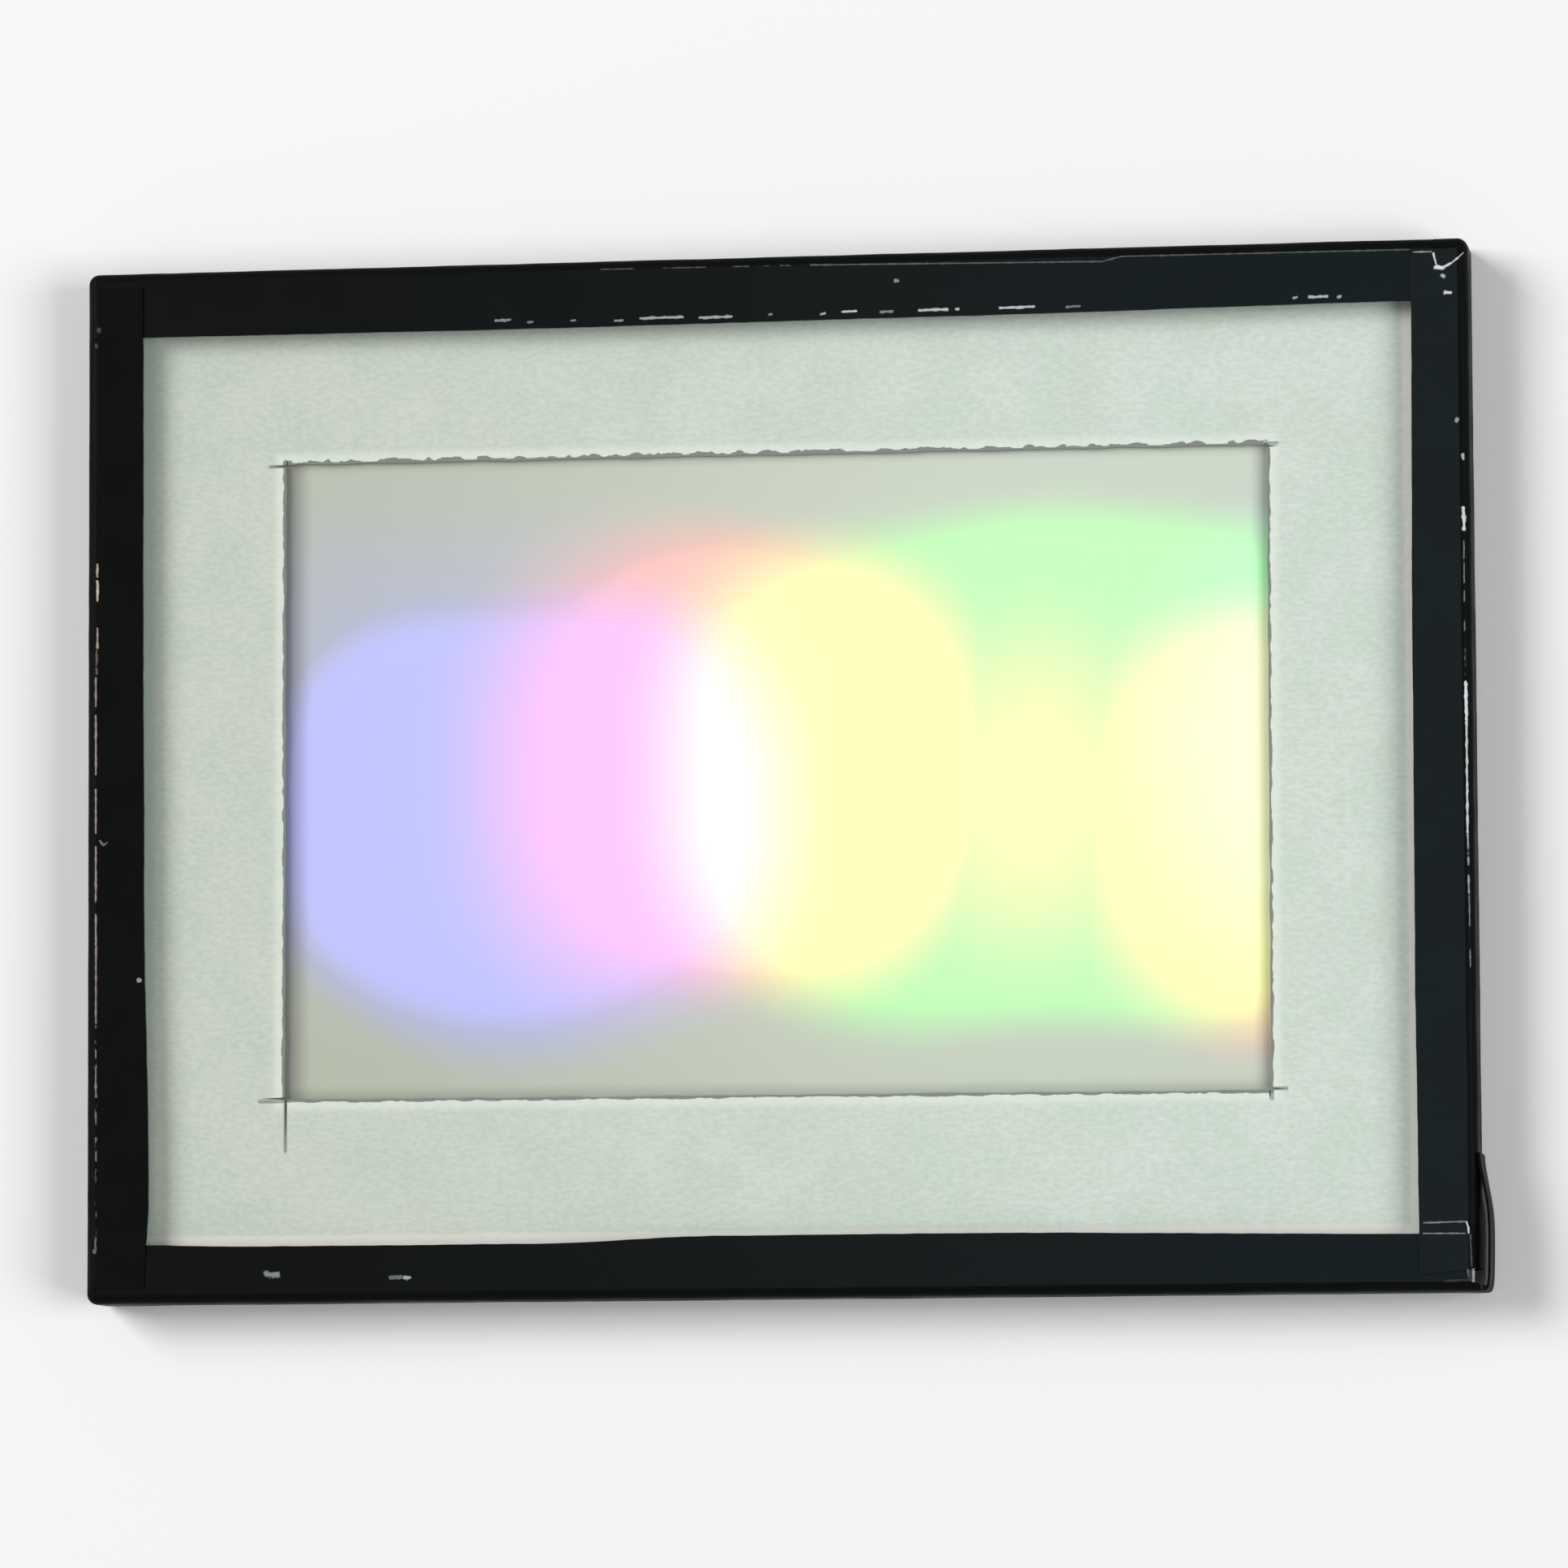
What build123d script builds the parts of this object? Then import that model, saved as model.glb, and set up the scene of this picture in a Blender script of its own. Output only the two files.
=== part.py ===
from build123d import *
import os
from math import pi

# Glass plates: two rectangles of thin sheet glass, edges and corners ground by hand
glass_length = 63.5
glass_width = 47.3
base_glass_thickness = 1.5
cover_glass_thickness = 1.0
glass_arris = 0.3
glass_corner_radius = 0.3

# Replica film: a moulded plastic skin on the base glass, trimmed short of its edges
film_thickness = 0.06
film_border = 1.5

# Card mask: stiff card with a window cut by knife, a little off centre and out of true
card_thickness = 0.26
card_border = 0.4
window_length = 45.42
window_width = 29.34
window_centre_x = -0.11
window_centre_y = 0.11
window_turn = -0.17
knife_cut = 0.12
# Each corner of the window: side in X, side in Y, and how far the cuts overrun it along X and Y
overruns = [(-1, 1, 0.7, 0.22), (1, 1, 0.5, 0.1), (-1, -1, 1.2, 2.3), (1, -1, 0.65, 0.45)]

# Binding tape: glossy black tape cut into four strips, each folded over one edge of the stack
tape_width = 9.0
tape_thickness = 0.13
tape_slack = 0.04
bend_radius = 0.32
ramp = 0.45

# Width of each strip's front band, from the outside of the fold to the strip's cut edge
top_band = 3.02
bottom_band = 2.78
left_band = 2.64
right_band = 2.66

# How the hand-laid front edges wander: place along the strip from -1 to 1, and extra band width
straight = [(-1, 0), (1, 0)]
top_wander = [(-1, 0.02), (-0.35, 0.06), (0.3, -0.02), (1, -0.18)]
bottom_wander = [(-1, -0.08), (-0.75, -0.21), (-0.35, -0.21), (-0.08, 0.06), (0.25, 0.06), (1, -0.18)]
left_wander = [(-1, 0.12), (-0.8, 0.3), (-0.2, 0.06), (0.4, 0.0), (1, 0.0)]
right_wander = [(-1, 0.0), (-0.45, 0.06), (0.2, 0.02), (1, -0.1)]

# Ends of the strips: the side strips are trimmed short of the corners, and the top strip is cut askew
side_trim = 0.58
side_trim_low_inner = 0.64
side_trim_low_outer = 0.89
top_end_skew = 0.62

# Loose end of the bottom strip, turned up over the lower right corner and standing off the side
loose_length = 6.0
loose_gap = 0.4
loose_corner_radius = 0.14

# Levels of the stack, from the lowest face of the doubled tape at Z = 0
stack_bottom = 2 * tape_thickness
film_bottom = stack_bottom + base_glass_thickness
card_bottom = film_bottom + film_thickness
cover_bottom = card_bottom + card_thickness
stack_top = cover_bottom + cover_glass_thickness
stack_height = stack_top - stack_bottom
stack_middle = (stack_bottom + stack_top) / 2

# Faces that the tape lies on, its own outer faces, and where the straight runs of its folds end
bed_x = glass_length / 2 + tape_slack
bed_y = glass_width / 2 + tape_slack
bed_corner_radius = glass_corner_radius + tape_slack
face_x = bed_x + tape_thickness
face_y = bed_y + tape_thickness
fold_x = bed_x - bend_radius
fold_y = bed_y - bend_radius
web_height = stack_height - 2 * bend_radius

# Ends of the strips, and a margin for outlines that run past the tape
side_end_y = bed_y - side_trim
side_end_low_y = bed_y - side_trim_low_inner
under_end_x = fold_x - ramp
top_seam_x = under_end_x - top_end_skew
past = 1.0


# Glass plates
def glass_plate(bottom, thickness, outward):
    with BuildPart() as plate:
        with BuildSketch(Plane.XY.offset(bottom)):
            RectangleRounded(glass_length, glass_width, glass_corner_radius)
        extrude(amount=thickness)
        outer_face = plate.faces().sort_by(Axis.Z)[outward]
        chamfer(outer_face.edges(), glass_arris)
    return plate.part


with BuildPart() as base_glass:
    add(glass_plate(stack_bottom, base_glass_thickness, 0))
with BuildPart() as cover_glass:
    add(glass_plate(cover_bottom, cover_glass_thickness, -1))

# Replica film on the inner face of the base glass
with BuildPart() as grating_film:
    with BuildSketch(Plane.XY.offset(film_bottom)):
        Rectangle(glass_length - 2 * film_border, glass_width - 2 * film_border)
    extrude(amount=film_thickness)

# Card mask between the film and the cover glass, with the knife's overruns as narrow slits
with BuildPart() as mask_card:
    with BuildSketch(Plane.XY.offset(card_bottom)):
        Rectangle(glass_length - 2 * card_border, glass_width - 2 * card_border)
        with Locations(Location((window_centre_x, window_centre_y, 0), (0, 0, window_turn))):
            Rectangle(window_length, window_width, mode=Mode.SUBTRACT)
            for side_x, side_y, run_x, run_y in overruns:
                corner_x = side_x * window_length / 2
                corner_y = side_y * window_width / 2
                with Locations((corner_x + side_x * run_x / 2, corner_y - side_y * knife_cut / 2)):
                    Rectangle(run_x, knife_cut, mode=Mode.SUBTRACT)
                with Locations((corner_x - side_x * knife_cut / 2, corner_y + side_y * run_y / 2)):
                    Rectangle(knife_cut, run_y, mode=Mode.SUBTRACT)
    extrude(amount=card_thickness)


# Rounded block that encloses the glass stack, grown by the same distance on every side
def wrapped_block(grow):
    with BuildPart() as block:
        with BuildSketch(Plane.XY.offset(stack_bottom - grow)):
            RectangleRounded(2 * (bed_x + grow), 2 * (bed_y + grow), bed_corner_radius + grow)
        extrude(amount=stack_height + 2 * grow)
        fillet(block.faces().filter_by(Axis.Z).edges(), bend_radius + grow)
    return block.part


# Back band that is left of the tape's width once the front band and the two bends are laid
def back_band(front_band):
    bend_outside = bend_radius + tape_thickness
    both_bends = pi * (bend_radius + tape_thickness / 2)
    front_flat = front_band - bend_outside
    return tape_width - front_flat - web_height - both_bends + bend_outside


# Cut edge of a band as points along X, or along Y for the two side strips
def edge_along_x(side, band, half_run, wander):
    return [(place * half_run, side * (face_y - band - extra)) for place, extra in wander]


def edge_along_y(side, band, half_run, wander):
    return [(side * (face_x - band - extra), place * half_run) for place, extra in wander]


# Flat outline of a band: its cut edge, then straight lines round its ends and outside
def band_outline(edge, corners):
    with BuildSketch() as outline:
        with BuildLine():
            Spline(*edge)
            Polyline(edge[-1], *corners, edge[0])
        make_face()
    return outline.sketch


# Strip of tape as folded: the shell round the stack, kept where its front and back bands lie
def folded_strip(front_edge, back_edge, ends, outside):
    reach = stack_height / 2 + past
    with BuildPart() as strip:
        with BuildSketch(Plane.XY.offset(stack_middle)):
            add(band_outline(front_edge, ends))
        extrude(amount=reach)
        with BuildSketch(Plane.XY.offset(stack_middle)):
            add(band_outline(back_edge, ends))
        extrude(amount=-reach)
        add(outside, mode=Mode.INTERSECT)
        add(tape_bed, mode=Mode.SUBTRACT)
    return strip.part


# Rise of a side strip over the end of the strip below it, sloping down past that strip's edges
def lap(side_x, side_y, edge_y, end_skew, level, rise):
    start_x = side_x * (face_x - tape_width / 2)
    end_x = side_x * under_end_x
    with BuildPart() as pad:
        for z, slope in ((level, ramp), (level + rise, 0)):
            foot_y = edge_y - side_y * slope
            foot_x = end_x + side_x * slope
            with BuildSketch(Plane.XY.offset(z)):
                with BuildLine():
                    Polyline(
                        (start_x, foot_y),
                        (foot_x, foot_y),
                        (foot_x - side_x * end_skew, side_y * fold_y),
                        (start_x, side_y * fold_y),
                        close=True,
                    )
                make_face()
        loft(ruled=True)
    return pad.part


tape_bed = wrapped_block(0)
tape_face = wrapped_block(tape_thickness)

# Top strip: wraps the upper left corner and stops short of the upper right one, cut askew
top_front_edge = edge_along_x(1, top_band, under_end_x, top_wander)
top_back_edge = edge_along_x(1, back_band(top_band), under_end_x, straight)
top_ends = [
    (top_seam_x, fold_y),
    (top_seam_x, face_y + past),
    (-face_x - past, face_y + past),
    (-face_x - past, side_end_y),
    (-under_end_x, side_end_y),
]
with BuildPart() as top_tape:
    add(folded_strip(top_front_edge, top_back_edge, top_ends, tape_face))

# Bottom strip: wraps the lower left corner, and leaves the stack where the lower right one begins
lift_x = bed_x - bed_corner_radius
bottom_front_edge = edge_along_x(-1, bottom_band, under_end_x, bottom_wander)
bottom_back_edge = edge_along_x(-1, back_band(bottom_band), under_end_x, straight)
bottom_ends = [
    (under_end_x, -side_end_y),
    (lift_x, -side_end_y),
    (lift_x, -face_y - past),
    (-face_x - past, -face_y - past),
    (-face_x - past, -side_end_y),
    (-under_end_x, -side_end_y),
]

# Its loose end, drawn along the middle of the tape: round the corner, then in towards the side
loose_x = face_x + loose_gap
loose_y = -face_y + tape_thickness / 2
loose_tip = (face_x + tape_slack + tape_thickness / 2, -face_y + loose_length)
with BuildPart() as bottom_tape:
    add(folded_strip(bottom_front_edge, bottom_back_edge, bottom_ends, tape_face))
    with BuildSketch(Plane.XY.offset(stack_bottom)):
        with BuildLine():
            run = Line((lift_x - tape_thickness, loose_y), (loose_x - loose_corner_radius, loose_y))
            turn_end = (loose_x, loose_y + loose_corner_radius)
            turn = RadiusArc(run @ 1, turn_end, -loose_corner_radius)
            TangentArc(turn @ 1, loose_tip, tangent=turn % 1)
        trace(line_width=tape_thickness)
    extrude(amount=stack_height)

# Side strips lie over the ends of the top and bottom strips, on the front and on the back
front_face = stack_top + tape_thickness
back_face = stack_bottom - tape_thickness
with BuildPart() as side_face:
    add(tape_face)
    for side_x, end, top_skew in ((-1, 0, 0), (1, -1, top_end_skew)):
        add(lap(side_x, 1, top_front_edge[end][1], top_skew, front_face, tape_thickness))
        add(lap(side_x, 1, top_back_edge[end][1], top_skew, back_face, -tape_thickness))
        add(lap(side_x, -1, bottom_front_edge[end][1], 0, front_face, tape_thickness))
        add(lap(side_x, -1, bottom_back_edge[end][1], 0, back_face, -tape_thickness))

left_front_edge = edge_along_y(-1, left_band, side_end_y, left_wander)
left_back_edge = edge_along_y(-1, back_band(left_band), side_end_y, straight)
left_ends = [(-face_x - past, side_end_y), (-face_x - past, -side_end_y)]
with BuildPart() as left_tape:
    add(folded_strip(left_front_edge, left_back_edge, left_ends, side_face.part))
    add(top_tape.part, mode=Mode.SUBTRACT)
    add(bottom_tape.part, mode=Mode.SUBTRACT)

# Right strip: runs round the upper right corner to meet the top strip's end
right_front_edge = edge_along_y(1, right_band, side_end_low_y, right_wander)
right_back_edge = edge_along_y(1, back_band(right_band), side_end_low_y, straight)
right_ends = [
    (right_front_edge[-1][0], fold_y),
    (top_seam_x - tape_slack, fold_y),
    (top_seam_x - tape_slack, face_y + past),
    (face_x + past, face_y + past),
    (face_x + past, -bed_y + side_trim_low_outer),
    (fold_x, -bed_y + side_trim_low_outer),
]
with BuildPart() as right_tape:
    add(folded_strip(right_front_edge, right_back_edge, right_ends, side_face.part))
    add(top_tape.part, mode=Mode.SUBTRACT)
    add(bottom_tape.part, mode=Mode.SUBTRACT)

base_glass.part.label = "base_glass"
grating_film.part.label = "grating_film"
mask_card.part.label = "mask_card"
cover_glass.part.label = "cover_glass"
top_tape.part.label = "top_tape"
bottom_tape.part.label = "bottom_tape"
left_tape.part.label = "left_tape"
right_tape.part.label = "right_tape"

os.makedirs("parts", exist_ok=True)
export_step(base_glass.part, "parts/base_glass.step")
export_step(grating_film.part, "parts/grating_film.step")
export_step(mask_card.part, "parts/mask_card.step")
export_step(cover_glass.part, "parts/cover_glass.step")
export_step(top_tape.part, "parts/top_tape.step")
export_step(bottom_tape.part, "parts/bottom_tape.step")
export_step(left_tape.part, "parts/left_tape.step")
export_step(right_tape.part, "parts/right_tape.step")
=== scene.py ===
import math

import bmesh
import bpy
from mathutils import Matrix, Vector, noise


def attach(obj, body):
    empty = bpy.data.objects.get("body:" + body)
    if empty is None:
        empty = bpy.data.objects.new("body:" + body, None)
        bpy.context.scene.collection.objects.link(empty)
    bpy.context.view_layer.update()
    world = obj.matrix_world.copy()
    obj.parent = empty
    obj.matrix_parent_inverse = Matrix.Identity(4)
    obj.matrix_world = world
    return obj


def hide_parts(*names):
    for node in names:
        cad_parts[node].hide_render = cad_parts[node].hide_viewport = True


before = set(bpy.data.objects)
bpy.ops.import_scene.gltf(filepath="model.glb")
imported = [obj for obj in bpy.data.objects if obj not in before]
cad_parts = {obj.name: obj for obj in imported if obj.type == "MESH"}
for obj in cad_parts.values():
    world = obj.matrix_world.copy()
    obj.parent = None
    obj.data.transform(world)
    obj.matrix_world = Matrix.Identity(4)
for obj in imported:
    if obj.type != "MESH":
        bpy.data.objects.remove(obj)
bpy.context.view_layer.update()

MM = 0.001

# Base glass: the back plate of thin drawn sheet glass, its edges and corners ground by hand. The film is
# cemented to its inner face, and the binding tape holds it against the card and the cover glass.
GLASS_LONG, GLASS_SHORT, GLASS_CORNER, GROUND_RIM = 63.5, 47.3, 0.3, 0.15
BASE_BOTTOM, BASE_TOP = 0.265, 1.755
# Half the bound plate's height, and how far from there a glass face is an outer one.
MID_HEIGHT, OUTER_FROM = 1.67, 1.2
GLASS_TINT = "#fdfefd"
# Edges that turn more than this stay sharp. The rest are shaded smooth.
SHARP_FROM = math.radians(20)
SMOOTH = {"interpolation_type": "SMOOTHSTEP"}


def linear(code):
    """sRGB hex colour as linear RGBA."""
    parts = [int(code[i:i + 2], 16) / 255 for i in (1, 3, 5)]
    return [c / 12.92 if c <= 0.04045 else ((c + 0.055) / 1.055) ** 2.4 for c in parts] + [1.0]


def add_node(tree, kind, sockets=(), output=0, **settings):
    """Adds one shader node with its settings. Its sockets, in order or by key, get values or links."""
    made = tree.nodes.new("ShaderNode" + kind)
    for key, value in settings.items():
        setattr(made, key, value)
    for key, value in sockets.items() if isinstance(sockets, dict) else enumerate(sockets):
        if isinstance(value, bpy.types.NodeSocket):
            tree.links.new(value, made.inputs[key])
        else:
            made.inputs[key].default_value = value
    return made.outputs[output] if made.outputs else made


def new_material(name):
    """An empty node material, its node tree, and its Object coordinates in millimetres."""
    material = bpy.data.materials.new(name)
    material.use_nodes = True
    tree = material.node_tree
    tree.nodes.clear()
    where = add_node(tree, "TexCoord", output="Object")
    return material, tree, add_node(tree, "VectorMath", {0: where, 3: 1 / MM}, operation="SCALE")


def grain(tree, place, per_mm, detail, stretch=(1, 1, 1)):
    """Noise with a given number of lumps to the millimetre."""
    scaled = add_node(tree, "VectorMath", (place, stretch), operation="MULTIPLY")
    return add_node(tree, "TexNoise", {"Vector": scaled, "Scale": per_mm, "Detail": detail})


def stands_for(name, shape, node, slot, *materials):
    """Makes a piece of a shape in millimetres, which takes the place of a CAD node."""
    bmesh.ops.remove_doubles(shape, verts=shape.verts, dist=1e-5)
    bmesh.ops.scale(shape, vec=(MM, MM, MM), verts=shape.verts)
    mesh = bpy.data.meshes.new(name)
    shape.to_mesh(mesh)
    shape.free()
    for material in materials:
        mesh.materials.append(material)
    mesh.shade_smooth()
    mesh.set_sharp_from_angle(angle=SHARP_FROM)
    made = bpy.data.objects.new(name, mesh)
    bpy.context.scene.collection.objects.link(made)
    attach(made, "root")
    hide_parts(node)


def glass_plate(low, high):
    """A sheet of glass between two heights, with rounded corners and a ground rim round its faces."""
    ground = {"profile": 0.5, "affect": "EDGES", "material": -1}
    plate = bmesh.new()
    bmesh.ops.create_cube(plate, size=1)
    bmesh.ops.scale(plate, vec=(GLASS_LONG, GLASS_SHORT, high - low), verts=plate.verts)
    bmesh.ops.translate(plate, vec=(0, 0, (low + high) / 2), verts=plate.verts)
    corners = [e for e in plate.edges if abs(e.verts[0].co.z - e.verts[1].co.z) > 0.1]
    bmesh.ops.bevel(plate, geom=corners, offset=GLASS_CORNER, segments=5, **ground)
    level = [e for e in plate.edges if abs(e.verts[0].co.z - e.verts[1].co.z) < 0.01]
    rims = [e for e in level if any(abs(f.normal.z) < 0.5 for f in e.link_faces)]
    bmesh.ops.bevel(plate, geom=rims, offset=GROUND_RIM, segments=2, **ground)
    return plate


# Polished sheet glass shows what lies behind it. Its outer faces mirror more at a slant, and handling
# leaves faint smears on them. The inner faces lie against the film and the card, so they don't shine.
sheet_glass, tree, place = new_material("polished_sheet_glass")
handled = grain(tree, place, 0.12, 1.0, (1, 2.2, 1))
smears = add_node(tree, "MapRange", (handled, 0.5, 0.75, 0.02, 0.1), **SMOOTH)
clear = add_node(tree, "BsdfTransparent", {"Color": linear(GLASS_TINT)})
gloss = add_node(tree, "BsdfGlossy", {"Color": linear("#ffffff"), "Roughness": smears})
slant = add_node(tree, "LayerWeight", {"Blend": 0.5}, "Facing")
slant = add_node(tree, "Math", (slant, 5.0), operation="POWER")
mirror = add_node(tree, "MapRange", (slant, 0.0, 1.0, 0.04, 1.0), **SMOOTH)
height = add_node(tree, "SeparateXYZ", (place,), "Z")
off_middle = add_node(tree, "Math", (height, MID_HEIGHT), operation="SUBTRACT")
off_middle = add_node(tree, "Math", (off_middle,), operation="ABSOLUTE")
outer_face = add_node(tree, "Math", (off_middle, OUTER_FROM), operation="GREATER_THAN")
mirror = add_node(tree, "Math", (mirror, outer_face), operation="MULTIPLY")
pane = add_node(tree, "MixShader", (mirror, clear, gloss))
add_node(tree, "OutputMaterial", {"Surface": pane})
stands_for("base_plate", glass_plate(BASE_BOTTOM, BASE_TOP), "base_glass", "glass", sheet_glass)

# Replica film: a skin of clear plastic moulded from a ruled master and cemented to the base glass. The
# card's window shows it. Its node keeps the mesh that it has in the frame.
WINDOW_X, WINDOW_Y, WINDOW_TURN = -0.11, 0.11, math.radians(-0.17)
WINDOW_LONG, WINDOW_SHORT = 45.42, 29.34
COLOURS = {"output": 2, "data_type": "RGBA"}
TINT = COLOURS | {"blend_type": "MULTIPLY"}
# Each painted image of a lamp: its centre, half sizes, squareness, and how soft its left and its right rim
# are.
RED = ((-1.4, 0.6), (10.9, 10.2), 2.5, 0.42, 0.19)
RED_BRIDGE, BRIDGE_SHARE = ((11.8, -1.0), (5.0, 6.4), 2.0, 0.6, 0.6), 0.66
NEXT_RED = ((25.0, -2.2), (10.8, 9.8), 2.4, 0.24, 0.2)
GREEN = ((14.5, 0.1), (18.7, 11.3), 3.0, 0.2, 0.15)
BLUE = ((-12.0, -1.4), (11.7, 9.8), 2.4, 0.2, 0.3)
BLUE_HAZE, HAZE_SHARE = ((-16.0, 4.0), (13.0, 7.5), 2.0, 0.6, 0.6), 0.8
FAR_BLUE, FAR_SHARE = ((26.0, 1.5), (7.5, 9.0), 2.0, 0.6, 0.6), 0.4
WAVER_RATE, WAVER = 0.37, 0.3
# How far the card's shadow reaches in from the window's left, right, bottom and top, and what it leaves.
EDGE_SHADES = ((1.3, 0.45), (0.9, 0.6), (0.7, 0.75), (0.5, 0.85))


def painted_lamp_image(tree, axes, centre, radii, squareness, soft_left, soft_right):
    """A soft rounded image: 1 inside, fading to 0 over a band about its rim, wider on one side."""
    terms = []
    for axis, middle, radius in zip(axes, centre, radii):
        off = add_node(tree, "Math", (axis, middle), operation="SUBTRACT")
        share = add_node(tree, "Math", (off, radius), operation="DIVIDE")
        share = add_node(tree, "Math", (share,), operation="ABSOLUTE")
        terms.append(add_node(tree, "Math", (share, squareness), operation="POWER"))
    reach = add_node(tree, "Math", terms, operation="ADD")
    reach = add_node(tree, "Math", (reach, 1 / squareness), operation="POWER")
    left = centre[0] - radii[0]
    soft = add_node(tree, "MapRange", (axes[0], left, centre[0], soft_left, soft_right), **SMOOTH)
    outside = add_node(tree, "Math", (1.0, soft), operation="ADD")
    inside = add_node(tree, "Math", (1.0, soft), operation="SUBTRACT")
    return add_node(tree, "MapRange", (reach, outside, inside), **SMOOTH)


def strongest(tree, *values):
    """The highest of several masks."""
    most = values[0]
    for value in values[1:]:
        most = add_node(tree, "Math", (most, value), operation="MAXIMUM")
    return most


def window_gaps(tree, place):
    """Distances inwards from the window's left, right, bottom and top edges."""
    turned = add_node(tree, "VectorRotate", {0: place, 3: -WINDOW_TURN}, rotation_type="Z_AXIS")
    across, along, _ = add_node(tree, "SeparateXYZ", (turned,)).node.outputs
    left = add_node(tree, "Math", (across, WINDOW_LONG / 2 - WINDOW_X), operation="ADD")
    right = add_node(tree, "Math", (WINDOW_LONG / 2 + WINDOW_X, across), operation="SUBTRACT")
    bottom = add_node(tree, "Math", (along, WINDOW_SHORT / 2 - WINDOW_Y), operation="ADD")
    top = add_node(tree, "Math", (WINDOW_SHORT / 2 + WINDOW_Y, along), operation="SUBTRACT")
    return left, right, bottom, top


# Moulded film is clear and a little milky. Its ruling, hundreds of lines to the millimetre, is too fine to
# draw. It sends each colour of a lamp its own way, so soft red, green and blue images of the lamp lie side
# by side and overlap as pastels, and the next order's red comes in at the right; these images are painted
# into the film's colour and glow a little, painted light in place of the lamp light that the ruling sends
# on.
replica_film, tree, place = new_material("moulded_replica_film")
across, along, _ = add_node(tree, "SeparateXYZ", (place,)).node.outputs
waver = add_node(tree, "Math", (across, WAVER_RATE), operation="MULTIPLY")
waver = add_node(tree, "Math", (waver,), operation="SINE")
waver = add_node(tree, "Math", (waver, WAVER), operation="MULTIPLY")
axes = across, add_node(tree, "Math", (along, waver), operation="ADD")
bridge = painted_lamp_image(tree, axes, *RED_BRIDGE)
bridge = add_node(tree, "Math", (bridge, BRIDGE_SHARE), operation="MULTIPLY")
red = strongest(tree, painted_lamp_image(tree, axes, *RED), bridge, painted_lamp_image(tree, axes, *NEXT_RED))
green = painted_lamp_image(tree, axes, *GREEN)
blue_haze = painted_lamp_image(tree, axes, *BLUE_HAZE)
blue_haze = add_node(tree, "Math", (blue_haze, HAZE_SHARE), operation="MULTIPLY")
far_blue = strongest(tree, painted_lamp_image(tree, axes, *FAR_BLUE), blue_haze)
far_blue = add_node(tree, "Math", (far_blue, FAR_SHARE), operation="MULTIPLY")
blue = strongest(tree, painted_lamp_image(tree, axes, *BLUE), far_blue)
thick = strongest(tree, red, green, blue)

# The milky ground: a little lighter and greener towards the right, a little darker at the bottom.
share = add_node(tree, "MapRange", (across, -26, 16), **SMOOTH)
haze = add_node(tree, "Mix", {0: share, 6: linear("#dfe2d1"), 7: linear("#e9f0e4")}, **COLOURS)
share = add_node(tree, "MapRange", (along, -14, -6), **SMOOTH)
low = add_node(tree, "Mix", {0: share, 6: linear("#f8f8f7"), 7: linear("#ffffff")}, **COLOURS)
haze = add_node(tree, "Mix", {0: 1.0, 6: haze, 7: low}, **TINT)
under = add_node(tree, "Mix", {0: 1.0, 6: haze, 7: linear("#f3f0f0")}, **TINT)
haze = add_node(tree, "Mix", {0: thick, 6: haze, 7: under}, **COLOURS)
images = add_node(tree, "CombineColor", (red, green, blue))
soft_images = add_node(tree, "Mix", {0: 1.0, 6: images, 7: linear("#dcdcdc")}, **TINT)
colour = add_node(tree, "Mix", {0: 1.0, 6: haze, 7: soft_images}, **COLOURS, blend_type="SCREEN")
# Painted shadow of the card along the window's edges darkens the colour and the painted lamp images.
shade = 1.0
for gap, (reach, left_over) in zip(window_gaps(tree, place), EDGE_SHADES):
    lit = add_node(tree, "MapRange", (gap, 0.1, reach, left_over, 1.0), **SMOOTH)
    shade = add_node(tree, "Math", (shade, lit), operation="MULTIPLY")
shade = add_node(tree, "CombineColor", (shade, shade, shade))
colour = add_node(tree, "Mix", {0: 1.0, 6: colour, 7: shade}, **TINT)
images = add_node(tree, "Mix", {0: 1.0, 6: images, 7: shade}, **TINT)
milk = add_node(tree, "MapRange", (across, -24, 10, 0.62, 0.78), **SMOOTH)
image_milk = add_node(tree, "MapRange", (thick, 0.0, 1.0, 0.5, 0.86), **SMOOTH)
sockets = {
    "Base Color": colour, "Alpha": strongest(tree, milk, image_milk), "Roughness": 0.3, "IOR": 1.49,
    "Emission Color": images, "Emission Strength": 0.38,
}
add_node(tree, "OutputMaterial", {"Surface": add_node(tree, "BsdfPrincipled", sockets)})
film_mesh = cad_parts["grating_film"].data
film_mesh.materials.clear()
film_mesh.materials.append(replica_film)

# Card mask: stiff pale pulp card with a window cut by knife along pencilled lines. The cuts wander a
# little and overrun the corners. It lies loose on the film, held down by the cover glass.
CARD_BORDER, CARD_BOTTOM, CARD_TOP = 0.4, 1.825, 2.075
CARD_LONG, CARD_SHORT = GLASS_LONG - 2 * CARD_BORDER, GLASS_SHORT - 2 * CARD_BORDER
KNIFE, CUT_STEP, CUT_STRAY = 0.12, 0.5, 0.05
# Each corner of the window: its side in x and in y, and how far the knife went past it both ways.
OVERRUNS = ((-1, 1, 0.7, 0.22), (1, 1, 0.5, 0.1), (1, -1, 0.65, 0.45), (-1, -1, 1.2, 2.3))
# Where the painted blue-grey shade lies at the left, and where the painted light lies at the right and
# below.
LEFT_PAINTED_SHADE, RIGHT_PAINTED_LIGHT, LOWER_PAINTED_LIGHT = (-28.75, -29.2), (28.7, 28.95), (-20.6, -20.85)


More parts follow.
